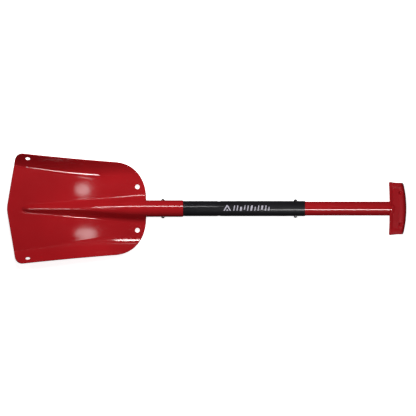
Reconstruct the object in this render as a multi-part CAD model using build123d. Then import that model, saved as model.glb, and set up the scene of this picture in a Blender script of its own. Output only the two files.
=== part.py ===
"""Avalanche shovel with a telescoping two-piece shaft, as separate solids in one frame.

Millimetres. +X runs along the shaft from the blade's tip to the grip, +Y across, +Z up.
The origin is under the middle of the whole shovel, with its lowest faces on Z = 0.
The blade lies with its hollow side up. "Station" means the distance back from the blade's tip.
"""

import os
from math import asin, atan, cos, hypot, pi, radians, sin, tan

from build123d import *

# Whole shovel
OVERALL_LENGTH = 812.8
TIP_X = -OVERALL_LENGTH / 2
END_X = OVERALL_LENGTH / 2
AXIS_Z = 17.0

# Blade outline, stations and half widths
SHEET = 2.0
BLADE_LENGTH = 283.2
TIP_RADIUS = 60.0
FRONT_RAKE = radians(9.65)
CORNER_RADIUS = 14.8
SIDE_SLOPE = -0.123
SIDE_START = (36.0, 110.7)
SIDE_MIDDLE = (130.0, 101.4)
SIDE_END = (220.0, 93.95)
SHOULDER_SLOPE = 0.066
SHOULDER_REACH = 36.0
NECK_REACH = 46.0
NECK_HALF = 20.0
BLADE_HOLE_DIAMETER = 9.5
PUNCH_LENGTH = 10.0
FRONT_HOLE = (42.2, 100.7)
REAR_HOLE = (265.4, 44.2)

# Pan, which climbs from its rear edge to the tip
PAN_REAR_HEIGHT = 12.5
PAN_LIFT = 0.061

# Curled sides
BEND_START = (18.0, 88.0)
BEND_END = (190.0, 64.0)
BEND_ROUND_FRONT = 2.5
BEND_ROUND_REAR = 9.0
BEND_ROUND_START = 60.0
BEND_ROUND_END = 200.0
CURL_RISE_FRONT = 0.72
CURL_RISE_REAR = 0.10
CURL_RISE_START = 20.0
CURL_RISE_END = 230.0
CURL_STEEPENING = 0.0172
RIM_CLEAR = 118.0
RIM_TAPER = 0.08

# Ridge that swells into the socket
NARROW_START = 24.0
NOSE_WIDTH = 0.6
RIDGE_NOSE = 28.0
RIDGE_NOSE_END = 44.0
RIDGE_HALF_FRONT = 10.0
RIDGE_HALF_REAR = 29.5
RIDGE_HALF_END = 270.0
CREST_RADIUS_FRONT = 4.0
CREST_RADIUS_START = 105.0
CREST_RADIUS_END = 270.0
FILLET_FRONT = 4.0
FILLET_REAR = 10.5
RIDGE_SKIN = 0.25
SECTION_SPACING = 6.0
SECTION_OVERRUN = 10.0
LEAST_TURN = 0.001
SLOPE_STEP = 1.0
PLAN_BOTTOM = -30.0
PLAN_HEIGHT = 120.0

# Socket and shaft tubes
SOCKET_OD = 34.0
SOCKET_ID = 31.2
SOCKET_START = 268.0
SOCKET_MOUTH = 358.1
SOCKET_BORE_LEAD = 8.0
SCARF_LENGTH = 9.0
SCARF_HALF = 30.0
SCARF_BOTTOM = -5.0
SEAM_WIDTH = 0.8
SEAM_TOP = 3.0
SEAM_OVERRUN = 2.0
MID_OD = 31.0
MID_ID = 28.8
MID_START = 290.0
MID_END = 606.5
HANDLE_OD = 28.6
HANDLE_ID = 26.2
HANDLE_START = 542.0
HANDLE_END = 803.0
LOWER_BUTTON = 317.3
STOWED_HOLE = 431.2
UPPER_BUTTON = 587.1
BUTTON_HOLE_DIAMETER = 7.6
CROSS_HOLE_LENGTH = 44.0
BORE_OVERRUN = 1.0

# Snap clips
BUTTON_DIAMETER = 7.0
LOWER_BUTTON_REACH = 19.9
UPPER_BUTTON_REACH = 19.0
DOME_HEIGHT = 1.7
STEM_DIAMETER = 3.0
STEM_CLEARANCE = 0.1
STEM_HOLE_LENGTH = 60.0
STEM_HEAD = 0.8
STEM_LIP = 0.5
STRIP_THICKNESS = 1.0
STRIP_WIDTH = 9.0
LOWER_STRIP_FACE = 13.4
UPPER_STRIP_FACE = 12.1
STRIP_TAIL = 6.5
STRIP_FLAT = 7.0
CLIP_LENGTH = 44.7
BEND_HALF = 5.5

# Grip
GRIP_WIDTH = 109.8
GRIP_DEPTH = 36.0
GRIP_THICKNESS = 34.0
PALM_SAGITTA = 6.6
SHAFT_SIDE_SAGITTA = 1.6
END_LEAN = 2.2
PALM_CORNER = 4.0
SHAFT_CORNER = 2.6
PALM_ROUND = 7.0
EDGE_ROUND = 2.2
PALM_TRIM = 0.02
END_DIP = 1.0
BLIND_BORE_CLEARANCE = 0.05
BLIND_BORE_LENGTH = 60.0
BLIND_BORE_GAP = 0.2
SCALLOP_SPACING = 31.0
SCALLOP_X = 396.5
SCALLOP_RADIUS = 9.0
SCALLOP_BITE = 0.9

# Rivet
RIVET_DIAMETER = 4.0
RIVET_HEAD_DIAMETER = 7.0
RIVET_HEAD_DEPTH = 1.4
RIVET_X = 388.0
RIVET_CLEARANCE = 0.05
RIVET_HOLE_LENGTH = 6.5
SHANK_REACH = 1.0
BULB_STANDOFF = 0.35
BULB_WIDE_RADIUS = 2.6
BULB_NARROW_RADIUS = 2.1
BULB_LENGTH = 1.6


def blend(a, b, start, end, value):
    """Linear change from a to b between start and end, held level outside them."""
    t = min(1.0, max(0.0, (value - start) / (end - start)))
    return a + (b - a) * t


def ease(a, b, start, end, value):
    """Like blend, with level ends."""
    t = blend(0.0, 1.0, start, end, value)
    return a + (b - a) * t * t * (3.0 - 2.0 * t)


def pan_height(station):
    """Height of the pan's upper face above the ground."""
    return PAN_REAR_HEIGHT + PAN_LIFT * (BLADE_LENGTH - station)


def ridge_shape(station):
    """Crest radius, fillet radius, flank angle, rise and half width of the ridge."""
    crest = ease(CREST_RADIUS_FRONT, SOCKET_OD / 2 + RIDGE_SKIN, CREST_RADIUS_START,
                 CREST_RADIUS_END, station)
    fillet = blend(FILLET_FRONT, FILLET_REAR, RIDGE_NOSE, CREST_RADIUS_END, station)
    rise = AXIS_Z + SOCKET_OD / 2 + RIDGE_SKIN - pan_height(station)
    half = blend(RIDGE_HALF_FRONT, RIDGE_HALF_REAR, RIDGE_NOSE_END, RIDGE_HALF_END, station)
    low = 0.05
    high = pi / 2 - 0.02
    for _ in range(40):
        angle = (low + high) / 2
        flank = rise - (crest + fillet) * (1.0 - cos(angle))
        reach = (crest + fillet) * sin(angle) + flank / tan(angle)
        if reach > half:
            low = angle
        else:
            high = angle
    return crest, fillet, angle, rise, half


def ridge_nodes(station):
    """Joints of the ridge's half section from its crest out to the pan: (y, z, slope angle)."""
    crest, fillet, angle, rise, half = ridge_shape(max(station, RIDGE_NOSE_END))
    lift = ease(0.0, 1.0, RIDGE_NOSE, RIDGE_NOSE_END, station)
    narrow = ease(NOSE_WIDTH, 1.0, NARROW_START, RIDGE_NOSE_END, station)
    nodes = [
        (0.0, rise, 0.0),
        (crest * sin(angle), rise - crest * (1.0 - cos(angle)), angle),
        (half - fillet * sin(angle), fillet * (1.0 - cos(angle)), angle),
        (half, 0.0, 0.0),
    ]
    base = pan_height(station)
    return [(y * narrow, base + z * lift, -atan(tan(turn) * lift / narrow))
            for y, z, turn in nodes]


def bend_line(station):
    """Distance from the centre line to the middle of a side's bend, and half the bend's width."""
    bend = blend(BEND_START[1], BEND_END[1], BEND_START[0], BEND_END[0], station)
    soft = ease(BEND_ROUND_FRONT, BEND_ROUND_REAR, BEND_ROUND_START, BEND_ROUND_END, station)
    return bend, soft


def curl(station, half):
    """Rise and slope of the curled side at a distance from the centre line."""
    bend, soft = bend_line(station)
    rise = ease(CURL_RISE_FRONT, CURL_RISE_REAR, CURL_RISE_START, CURL_RISE_END, station)
    beyond = half - bend
    if beyond <= -soft:
        return 0.0, 0.0
    if beyond < soft:
        reach = (beyond + soft) ** 2 / (4.0 * soft)
        growth = (beyond + soft) / (2.0 * soft)
    else:
        reach = beyond
        growth = 1.0
    slope = (rise + 2.0 * CURL_STEEPENING * reach) * growth
    return rise * reach + CURL_STEEPENING * reach * reach, slope


def half_section(station):
    """Joints of the sheet's upper face from the centre line out past the rim."""
    nodes = ridge_nodes(station)
    bend, soft = bend_line(station)
    rim = RIM_CLEAR - RIM_TAPER * station
    for y in (bend - soft, bend + soft, (bend + soft + rim) / 2, rim):
        z, slope = curl(station, y)
        nodes.append((y, pan_height(station) + z, atan(slope)))
    return nodes


def arc_like(x, near, far):
    """Smooth edge across a station between two joints with given slopes."""
    chord = hypot(far[0] - near[0], far[1] - near[1])
    turn = abs(far[2] - near[2])
    pull = chord / 3
    if turn > LEAST_TURN:
        pull = chord * 2 / 3 * tan(turn / 4) / sin(turn / 2)
    return Edge.make_bezier(
        Vector(x, near[0], near[1]),
        Vector(x, near[0] + pull * cos(near[2]), near[1] + pull * sin(near[2])),
        Vector(x, far[0] - pull * cos(far[2]), far[1] - pull * sin(far[2])),
        Vector(x, far[0], far[1]),
    )


def sheet_section(station):
    """Closed wire of the sheet's cross section at a station."""
    x = TIP_X + station
    half = half_section(station)
    upper = [(-y, z, -turn) for y, z, turn in reversed(half[1:])] + half
    lower = [(y + SHEET * sin(turn), z - SHEET * cos(turn), turn) for y, z, turn in upper]
    edges = [arc_like(x, near, far) for near, far in zip(upper, upper[1:])]
    edges.append(Edge.make_line(Vector(x, *upper[-1][:2]), Vector(x, *lower[-1][:2])))
    edges += [arc_like(x, near, far) for near, far in zip(lower, lower[1:])][::-1]
    edges.append(Edge.make_line(Vector(x, *lower[0][:2]), Vector(x, *upper[0][:2])))
    return Wire(edges)


def corner_tangents():
    """Where a front corner's arc leaves the front edge and meets the side, on the +Y half."""
    rake = tan(FRONT_RAKE)
    apex = TIP_RADIUS * (1.0 - 1.0 / cos(FRONT_RAKE))
    rise = SIDE_START[1] + SIDE_SLOPE * (apex - SIDE_START[0])
    corner_y = rise / (1.0 - SIDE_SLOPE * rake)
    corner = Vector(apex + rake * corner_y, corner_y)
    turn = pi / 2 - FRONT_RAKE - atan(SIDE_SLOPE)
    back = CORNER_RADIUS * tan(turn / 2)
    front = corner - Vector(rake, 1.0).normalized() * back
    side = corner + Vector(1.0, SIDE_SLOPE).normalized() * back
    return front, side


def half_outline(sign):
    """Edges of the blade's outline on one side, from its tip back to the centre of its rear edge."""
    def at(x, y):
        return Vector(TIP_X + x, sign * y)

    front, side = corner_tangents()
    tip = at(0.0, 0.0)
    tip_end = at(TIP_RADIUS * (1.0 - cos(FRONT_RAKE)), TIP_RADIUS * sin(FRONT_RAKE))
    corner_start = at(front.X, front.Y)
    corner_end = at(side.X, side.Y)
    shoulder = at(*SIDE_END)
    shoulder_pull = at(SIDE_END[0] + SHOULDER_REACH, SIDE_END[1] - SHOULDER_SLOPE * SHOULDER_REACH)
    neck = at(BLADE_LENGTH, NECK_HALF)
    neck_pull = at(BLADE_LENGTH, NECK_HALF + NECK_REACH)
    return [
        Edge.make_tangent_arc(tip, Vector(0.0, sign, 0.0), tip_end),
        Edge.make_line(tip_end, corner_start),
        Edge.make_tangent_arc(corner_start, Vector(tan(FRONT_RAKE), sign, 0.0), corner_end),
        Edge.make_three_point_arc(corner_end, at(*SIDE_MIDDLE), shoulder),
        Edge.make_bezier(shoulder, shoulder_pull, neck_pull, neck),
        Edge.make_line(neck, at(BLADE_LENGTH, 0.0)),
    ]


def blade_outline():
    """Plan of the blade as a face on the ground."""
    return Face(Wire(half_outline(1) + half_outline(-1)))


def sheet_height(station, half):
    """Height of the sheet's upper face, clear of the ridge."""
    return pan_height(station) + curl(station, half)[0]


def sheet_normal(station, half):
    """Unit normal of the sheet's upper face on the +Y side, clear of the ridge."""
    ahead = sheet_height(station + SLOPE_STEP, half)
    behind = sheet_height(station - SLOPE_STEP, half)
    along = (ahead - behind) / (2 * SLOPE_STEP)
    return Vector(-along, -curl(station, half)[1], 1.0).normalized()


def blade_holes():
    """Four punches, each square to the sheet where it goes through."""
    punches = []
    for station, half in (FRONT_HOLE, REAR_HOLE):
        normal = sheet_normal(station, half)
        for sign in (1, -1):
            axis = Vector(normal.X, sign * normal.Y, normal.Z)
            centre = (TIP_X + station, sign * half, sheet_height(station, half))
            punches.append(Plane(origin=centre, z_dir=axis) * Cylinder(
                BLADE_HOLE_DIAMETER / 2, PUNCH_LENGTH))
    return punches


def x_cylinder(diameter, start, end):
    """Cylinder on the shaft's axis between two stations."""
    middle = TIP_X + (start + end) / 2
    rod = Cylinder(diameter / 2, end - start, rotation=(0, 90, 0))
    return Pos(middle, 0, AXIS_Z) * rod


def tube(outer, inner, start, end):
    """Tube on the shaft's axis between two stations."""
    bore = x_cylinder(inner, start - BORE_OVERRUN, end + BORE_OVERRUN)
    return x_cylinder(outer, start, end) - bore


def cross_hole(station):
    """Cutter for a pair of button holes across the shaft."""
    rod = Cylinder(BUTTON_HOLE_DIAMETER / 2, CROSS_HOLE_LENGTH, rotation=(90, 0, 0))
    return Pos(TIP_X + station, 0, AXIS_Z) * rod


def stations():
    """Evenly spaced stations of the sheet's sections, from ahead of its tip to behind it."""
    count = round((BLADE_LENGTH + 2 * SECTION_OVERRUN) / SECTION_SPACING)
    return [SECTION_SPACING * step - SECTION_OVERRUN for step in range(count + 1)]


def make_pan():
    """Pressed sheet with curled sides and ridge, cut to the blade's outline."""
    sheet = Solid.make_loft([sheet_section(place) for place in stations()])
    plan = extrude(blade_outline(), amount=PLAN_HEIGHT, dir=(0, 0, 1))
    return sheet & (Pos(0, 0, PLAN_BOTTOM) * plan)


def make_socket():
    """Solid rod for the socket, cut to a slope under its front end."""
    front = TIP_X + SOCKET_START
    triangle = Wire.make_polygon([
        Vector(front, -SCARF_HALF, AXIS_Z),
        Vector(front, -SCARF_HALF, SCARF_BOTTOM),
        Vector(front + SCARF_LENGTH, -SCARF_HALF, SCARF_BOTTOM),
    ])
    scarf = Solid.extrude(Face(triangle), Vector(0, 2 * SCARF_HALF, 0))
    return x_cylinder(SOCKET_OD, SOCKET_START, SOCKET_MOUTH) - scarf


def socket_seam():
    """Cutter for the slit along the socket's underside."""
    length = SOCKET_MOUTH - SOCKET_START + 2 * SEAM_OVERRUN
    middle = TIP_X + (SOCKET_MOUTH + SOCKET_START) / 2
    return Pos(middle, 0, 0) * Box(length, SEAM_WIDTH, 2 * SEAM_TOP)


def make_blade():
    """Pressed sheet and the socket rolled from it, as one piece with its holes."""
    body = make_pan() + make_socket()
    body -= x_cylinder(SOCKET_ID, SOCKET_START - SOCKET_BORE_LEAD, SOCKET_MOUTH + BORE_OVERRUN)
    body -= socket_seam()
    body -= cross_hole(LOWER_BUTTON)
    for punch in blade_holes():
        body -= punch
    return body


def make_mid_shaft():
    """Middle tube, with holes for the lower clip, the stowed handle and the upper clip."""
    body = tube(MID_OD, MID_ID, MID_START, MID_END)
    for station in (LOWER_BUTTON, STOWED_HOLE, UPPER_BUTTON):
        body -= cross_hole(station)
    return body


def make_handle_tube():
    """Inner tube that carries the grip."""
    body = tube(HANDLE_OD, HANDLE_ID, HANDLE_START, HANDLE_END)
    body -= cross_hole(UPPER_BUTTON)
    return body - rivet_hole()


def grip_plan():
    """Plan of the grip as a face on the ground."""
    half = GRIP_WIDTH / 2
    end = END_X + PALM_TRIM
    back = end - PALM_SAGITTA
    front = END_X - GRIP_DEPTH
    near = half - END_LEAN
    waist = half - END_LEAN / 2 - END_DIP
    palm = Edge.make_three_point_arc(Vector(back, near), Vector(end, 0), Vector(back, -near))
    low_end = Edge.make_three_point_arc(
        Vector(back, -near), Vector((back + front) / 2, -waist), Vector(front, -half))
    shaft_side = Edge.make_three_point_arc(
        Vector(front, -half), Vector(front + SHAFT_SIDE_SAGITTA, 0), Vector(front, half))
    high_end = Edge.make_three_point_arc(
        Vector(front, half), Vector((back + front) / 2, waist), Vector(back, near))
    face = Face(Wire([palm, low_end, shaft_side, high_end]))
    face = face.fillet_2d(SHAFT_CORNER, face.vertices().sort_by(Axis.X)[:2])
    return face.fillet_2d(PALM_CORNER, face.vertices().sort_by(Axis.X)[-2:])


def make_grip():
    """Cross grip with rounded palm side, eased edges and a blind bore for the tube."""
    block = extrude(grip_plan(), amount=GRIP_THICKNESS, dir=(0, 0, 1))
    block = fillet(block.edges().filter_by(Plane.XY), EDGE_ROUND)
    chord = GRIP_WIDTH / 2 - END_LEAN
    palm_radius = (chord**2 + PALM_SAGITTA**2) / (2 * PALM_SAGITTA)
    disc = Pos(END_X - palm_radius, 0, GRIP_THICKNESS / 2) * Cylinder(
        palm_radius, GRIP_THICKNESS)
    body = block & fillet(disc.edges().filter_by(GeomType.CIRCLE), PALM_ROUND)
    for sign in (1, -1):
        for height in (0.0, GRIP_THICKNESS):
            lift = (SCALLOP_RADIUS - SCALLOP_BITE) * (1 if height > 0 else -1)
            body -= Pos(SCALLOP_X, sign * SCALLOP_SPACING, height + lift) * Sphere(SCALLOP_RADIUS)
    body -= x_cylinder(HANDLE_OD + 2 * BLIND_BORE_CLEARANCE, HANDLE_END - BLIND_BORE_LENGTH,
                       HANDLE_END + BLIND_BORE_GAP)
    return body - rivet_hole()


def rivet_hole():
    """Countersunk hole up through the grip's underside and the tube's wall."""
    base = (Align.CENTER, Align.CENTER, Align.MIN)
    shank_radius = RIVET_DIAMETER / 2 + RIVET_CLEARANCE
    head_radius = RIVET_HEAD_DIAMETER / 2 + RIVET_CLEARANCE
    shank = Cylinder(shank_radius, RIVET_HOLE_LENGTH, align=base)
    sink = Cone(head_radius, shank_radius, RIVET_HEAD_DEPTH, align=base)
    return Pos(RIVET_X, 0, 0) * (shank + sink)


def make_rivet():
    """Blind rivet that holds the grip on the tube."""
    base = (Align.CENTER, Align.CENTER, Align.MIN)
    inside = AXIS_Z - HANDLE_ID / 2
    shank = Cylinder(RIVET_DIAMETER / 2, inside + SHANK_REACH, align=base)
    head = Cone(RIVET_HEAD_DIAMETER / 2, RIVET_DIAMETER / 2, RIVET_HEAD_DEPTH, align=base)
    bulb = Cone(BULB_WIDE_RADIUS, BULB_NARROW_RADIUS, BULB_LENGTH, align=base)
    return Pos(RIVET_X, 0, 0) * (shank + head + Pos(0, 0, inside + BULB_STANDOFF) * bulb)


def clip_centre_line(station, face):
    """Centre line of a clip's strip: two flats joined by leaning arms and a round bend."""
    x = TIP_X + station
    side = face - STRIP_THICKNESS / 2
    bend_x = x + CLIP_LENGTH - BEND_HALF
    upper = [Vector(x - STRIP_TAIL, side, AXIS_Z), Vector(x + STRIP_FLAT, side, AXIS_Z),
             Vector(bend_x, BEND_HALF, AXIS_Z)]
    lower = [Vector(p.X, -p.Y, p.Z) for p in upper]
    turn = Edge.make_three_point_arc(upper[-1], Vector(bend_x + BEND_HALF, 0, AXIS_Z), lower[-1])
    return Wire([
        Edge.make_line(upper[0], upper[1]),
        Edge.make_line(upper[1], upper[2]),
        turn,
        Edge.make_line(lower[2], lower[1]),
        Edge.make_line(lower[1], lower[0]),
    ])


def make_clip_spring(station, face):
    """Folded strip of spring steel lying across the inside of a tube."""
    line = clip_centre_line(station, face)
    outline = line.offset_2d(STRIP_THICKNESS / 2, kind=Kind.INTERSECTION)
    body = extrude(Face(outline), amount=STRIP_WIDTH, dir=(0, 0, 1))
    body = Pos(0, 0, -STRIP_WIDTH / 2) * body
    stem = Cylinder(STEM_DIAMETER / 2 + STEM_CLEARANCE, STEM_HOLE_LENGTH, rotation=(90, 0, 0))
    return body - Pos(TIP_X + station, 0, AXIS_Z) * stem


def make_button(station, face, reach, sign):
    """Domed button with a stem riveted through the strip; sign picks the +Y or -Y side."""
    radius = BUTTON_DIAMETER / 2
    stem = STEM_DIAMETER / 2
    inner = face - STRIP_THICKNESS
    dome_radius = (radius**2 + DOME_HEIGHT**2) / (2 * DOME_HEIGHT)
    half_turn = asin(radius / dome_radius) / 2
    corners = [
        Vector(0, inner - STEM_HEAD),
        Vector(stem + STEM_LIP, inner - STEM_HEAD),
        Vector(stem + STEM_LIP, inner),
        Vector(stem, inner),
        Vector(stem, face),
        Vector(radius, face),
        Vector(radius, reach - DOME_HEIGHT),
    ]
    shoulder = Vector(dome_radius * sin(half_turn), reach - dome_radius * (1 - cos(half_turn)))
    dome = Edge.make_three_point_arc(corners[-1], shoulder, Vector(0, reach))
    profile = Wire([
        Edge.make_line(corners[step], corners[step + 1]) for step in range(len(corners) - 1)
    ] + [dome, Edge.make_line(Vector(0, reach), corners[0])])
    body = revolve(Face(profile), Axis.Y, 360)
    if sign < 0:
        body = body.rotate(Axis.X, 180)
    return Pos(TIP_X + station, 0, AXIS_Z) * body


def write(name, body):
    """Write one sub-part."""
    export_step(body, os.path.join("parts", name + ".step"))


def main():
    os.makedirs("parts", exist_ok=True)
    write("blade", make_blade())
    write("mid_shaft", make_mid_shaft())
    write("handle_tube", make_handle_tube())
    write("t_grip", make_grip())
    write("grip_rivet", make_rivet())
    clips = (
        ("lower", LOWER_BUTTON, LOWER_STRIP_FACE, LOWER_BUTTON_REACH),
        ("upper", UPPER_BUTTON, UPPER_STRIP_FACE, UPPER_BUTTON_REACH),
    )
    for name, station, face, reach in clips:
        write(name + "_clip_spring", make_clip_spring(station, face))
        write(name + "_button_left", make_button(station, face, reach, 1))
        write(name + "_button_right", make_button(station, face, reach, -1))


main()
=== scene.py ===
import math

import bmesh
import bpy
import numpy as np
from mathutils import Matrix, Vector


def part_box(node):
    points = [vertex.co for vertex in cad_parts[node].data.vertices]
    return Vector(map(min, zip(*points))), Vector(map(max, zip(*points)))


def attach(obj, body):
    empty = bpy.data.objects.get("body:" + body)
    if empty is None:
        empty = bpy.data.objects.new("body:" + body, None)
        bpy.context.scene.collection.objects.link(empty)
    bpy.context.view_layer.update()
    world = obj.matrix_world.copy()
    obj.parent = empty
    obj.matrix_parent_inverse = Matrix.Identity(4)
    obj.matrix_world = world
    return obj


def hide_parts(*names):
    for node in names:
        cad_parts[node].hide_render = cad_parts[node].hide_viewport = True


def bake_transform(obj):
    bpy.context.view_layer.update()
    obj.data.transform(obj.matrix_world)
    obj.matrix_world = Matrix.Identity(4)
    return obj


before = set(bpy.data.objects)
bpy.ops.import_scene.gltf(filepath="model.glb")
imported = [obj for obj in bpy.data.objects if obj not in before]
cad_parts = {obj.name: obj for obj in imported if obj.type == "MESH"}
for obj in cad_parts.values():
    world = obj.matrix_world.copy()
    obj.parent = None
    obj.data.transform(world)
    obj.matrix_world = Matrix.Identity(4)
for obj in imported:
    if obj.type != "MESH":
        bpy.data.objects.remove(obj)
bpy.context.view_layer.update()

# Avalanche shovel. Shapes are worked out in millimetres in the frame's own axes: +X along the
# shaft from the blade's tip to the grip, +Y across, +Z up. "Station" is the distance behind the
# blade's tip, and "half" the distance out from the shaft's centre line.

MM = 1000.0
JOIN_DISTANCE = 0.002 / MM


def box_mm(node):
    """Lowest corner, highest corner and middle of a CAD node, in millimetres."""
    low, high = (np.array(corner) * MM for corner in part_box(node))
    return low, high, (low + high) / 2


BLADE_LOW, BLADE_HIGH, _ = box_mm("blade")
MID_LOW, MID_HIGH, MID_CENTRE = box_mm("mid_shaft")
HANDLE_LOW, HANDLE_HIGH, _ = box_mm("handle_tube")
LOWER_LOW, LOWER_HIGH, LOWER_CENTRE = box_mm("lower_button_left")
_, UPPER_HIGH, UPPER_CENTRE = box_mm("upper_button_left")
GRIP_END = box_mm("t_grip")[1][0]

TIP_X = BLADE_LOW[0]
MOUTH_X = BLADE_HIGH[0]
AXIS_Z = MID_CENTRE[2]
LOWER_BUTTON_X = LOWER_CENTRE[0]
UPPER_BUTTON_X = UPPER_CENTRE[0]
BUTTON_RADIUS = (LOWER_HIGH[0] - LOWER_LOW[0]) / 2
MID_RADIUS = (MID_HIGH[1] - MID_LOW[1]) / 2
HANDLE_RADIUS = (HANDLE_HIGH[1] - HANDLE_LOW[1]) / 2

# Blade: sheet and outline. Pairs are (station, half) unless a comment says otherwise.
SHEET = 2.0
EDGE_ROUND = 0.7
BLADE_LENGTH = 283.2
TIP_RADIUS = 60.0
FRONT_RAKE = math.radians(9.65)
CORNER_RADIUS = 14.8
SIDE_SLOPE = -0.123
SIDE_START = (36.0, 110.7)
SIDE_MIDDLE = (130.0, 101.4)
SIDE_END = (220.0, 93.95)
SHOULDER_SLOPE = 0.066
SHOULDER_REACH = 36.0
NECK_REACH = 46.0
NECK_HALF = 20.0
BLADE_HOLE_RADIUS = 4.75
BLADE_HOLE_MARGIN = 3.2
FRONT_HOLE = (42.2, 100.7)
REAR_HOLE = (265.4, 44.2)

# Blade: pan, bend and curled side. The two spans are (first station, last station).
PAN_REAR_HEIGHT = 12.5
PAN_LIFT = 0.061
BEND_START = (18.0, 88.0)
BEND_END = (190.0, 64.0)
BEND_ROUND_FRONT = 2.5
BEND_ROUND_REAR = 9.0
BEND_ROUND_SPAN = (60.0, 200.0)
CURL_RISE_FRONT = 0.72
CURL_RISE_REAR = 0.10
CURL_SPAN = (20.0, 230.0)
CURL_STEEPENING = 0.0172

# Blade: ridge
RIDGE_NOSE = 28.0
RIDGE_NOSE_END = 44.0
RIDGE_NOSE_LEAD = 4.0
RIDGE_NOSE_WIDTH = 0.6
RIDGE_HALF_FRONT = 10.0
RIDGE_HALF_REAR = 29.5
RIDGE_HALF_END = 270.0
CREST_RADIUS_FRONT = 4.0
CREST_RADIUS_START = 105.0
CREST_RADIUS_END = 270.0
FILLET_FRONT = 4.0
FILLET_REAR = 10.5
FLANK_ANGLE_LOW = 0.05
FLANK_ANGLE_HIGH = math.pi / 2 - 0.02
HALVINGS = 40

# Columns of the blade's grid on each side of the crest, its rows, and the fineness of its outline
ARC_COLUMNS = 14
FLANK_COLUMNS = 6
FILLET_COLUMNS = 10
PAN_COLUMNS = 26
BEND_COLUMNS = 10
WALL_COLUMNS = 18
BLADE_ROWS = 190
ROW_SAMPLES = 900
TIP_SAMPLES = 30
FRONT_SAMPLES = 200
CORNER_SAMPLES = 160
SIDE_SAMPLES = 600
SHOULDER_SAMPLES = 500
NECK_SAMPLES = 60
FRONT_ENDS_AT = 52.0
SIDE_ENDS_AT = 137.0

# Tubes
SOCKET_RADIUS = 17.0
SOCKET_BORE = 15.6
SOCKET_TONGUE = 268.0
SCARF = 9.0 / 22.0
SEAM_HALF = 0.4
MID_BORE = 14.4
HANDLE_BORE = 13.1
STOWED_HOLE_X = 24.8
BUTTON_HOLE_RADIUS = 3.8
BUTTON_HOLE_MARGIN = 2.6
LIP = 0.35

# Rings between a hole and the grid round it, and the grids of the tubes
BLADE_HOLE_RINGS = 4
BUTTON_HOLE_RINGS = 3
BY_A_HOLE = np.linspace(-7, 7, 9)
CLEAR_OF_HOLE = 10.0
SOCKET_FRONT_ROWS = 16
SOCKET_MOUTH_ROWS = 20
TONGUE_ROWS = 5
HALF_UNDERSIDE_COLUMNS = 23
TUBE_COLUMNS = 112
TUBE_ROW_STEP = 6


# ---- small helpers


def ramp(a, b, start, end, value):
    """Linear change from a to b between start and end, held level outside them."""
    t = np.clip((value - start) / (end - start), 0.0, 1.0)
    return a + (b - a) * t


def ease(a, b, start, end, value):
    """Like ramp, with level ends."""
    t = ramp(0.0, 1.0, start, end, value)
    return a + (b - a) * t * t * (3.0 - 2.0 * t)


def unit(vectors):
    """Vectors scaled to length 1."""
    return vectors / np.linalg.norm(vectors, axis=-1, keepdims=True)


def steps(count):
    """Even fractions up to 1, without the 0."""
    return np.arange(1, count + 1) / count


def place_object(name, data):
    """New object in the scene."""
    placed = bpy.data.objects.new(name, data)
    bpy.context.scene.collection.objects.link(placed)
    return placed


class Shape:
    """Points in millimetres and faces, collected before they become one closed mesh. Faces can
    be given either way round, because build turns them all outwards."""

    def __init__(self):
        self.points = []
        self.faces = []

    def add(self, points):
        """Adds points and returns their numbers, in the same layout."""
        points = np.asarray(points, float)
        first = len(self.points)
        self.points.extend(map(tuple, points.reshape(-1, 3)))
        return np.arange(first, len(self.points)).reshape(points.shape[:-1])

    def face(self, *numbers):
        self.faces.append(tuple(int(number) for number in numbers))

    def bridge(self, one, other, closed=False):
        """Quads between two rows of point numbers."""
        for k in range(len(one) if closed else len(one) - 1):
            n = (k + 1) % len(one)
            self.face(one[k], one[n], other[n], other[k])

    def chain(self, rings, closed=True):
        """Quads from each ring of point numbers to the next."""
        for one, other in zip(rings, rings[1:]):
            self.bridge(one, other, closed)

    def grid(self, numbers, skip=(), closed=False):
        """Quads of a whole grid of point numbers, apart from the cells in skip."""
        rows, columns = numbers.shape
        for i in range(rows - 1):
            for j in range(columns if closed else columns - 1):
                if (i, j) not in skip:
                    n = (j + 1) % columns
                    self.face(numbers[i, j], numbers[i + 1, j], numbers[i + 1, n], numbers[i, n])

    def build(self, name, material, body, nodes=(), sharp=35.0):
        """Makes the object, gives it its material and puts it on its body."""
        mesh = bpy.data.meshes.new(name)
        mesh.from_pydata([(x / MM, y / MM, z / MM) for x, y, z in self.points], [], self.faces)
        mesh.validate()
        close_and_orient(mesh)
        mesh.polygons.foreach_set("use_smooth", [True] * len(mesh.polygons))
        mesh.set_sharp_from_angle(angle=math.radians(sharp))
        mesh.materials.append(material)
        piece = place_object(name, mesh)
        if nodes:
            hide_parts(*nodes)
        if body:
            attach(piece, body)
        return piece


def close_and_orient(mesh):
    """Joins points that coincide, drops those no face uses, fills what is left open and turns
    every face outwards."""
    work = bmesh.new()
    work.from_mesh(mesh)
    bmesh.ops.remove_doubles(work, verts=work.verts, dist=JOIN_DISTANCE)
    unused = [point for point in work.verts if not point.link_faces]
    bmesh.ops.delete(work, geom=unused, context="VERTS")
    gaps = [edge for edge in work.edges if edge.is_boundary]
    bmesh.ops.holes_fill(work, edges=gaps, sides=0)
    bmesh.ops.recalc_face_normals(work, faces=work.faces)
    work.to_mesh(mesh)
    work.free()


def block_round(near):
    """Smallest block of grid cells round the marked points: its rim in order, and its cells."""
    rows, columns = np.where(near)
    i0, i1, j0, j1 = rows.min(), rows.max(), columns.min(), columns.max()
    rim = [(i0, j) for j in range(j0, j1)] + [(i, j1) for i in range(i0, i1)]
    rim += [(i1, j) for j in range(j1, j0, -1)] + [(i, j0) for i in range(i1, i0, -1)]
    return rim, {(i, j) for i in range(i0, i1) for j in range(j0, j1)}


def pick(table, places):
    """The entries of a grid at a list of (row, column) places."""
    return np.array([table[place] for place in places])


# ---- the blade's surface


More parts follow.
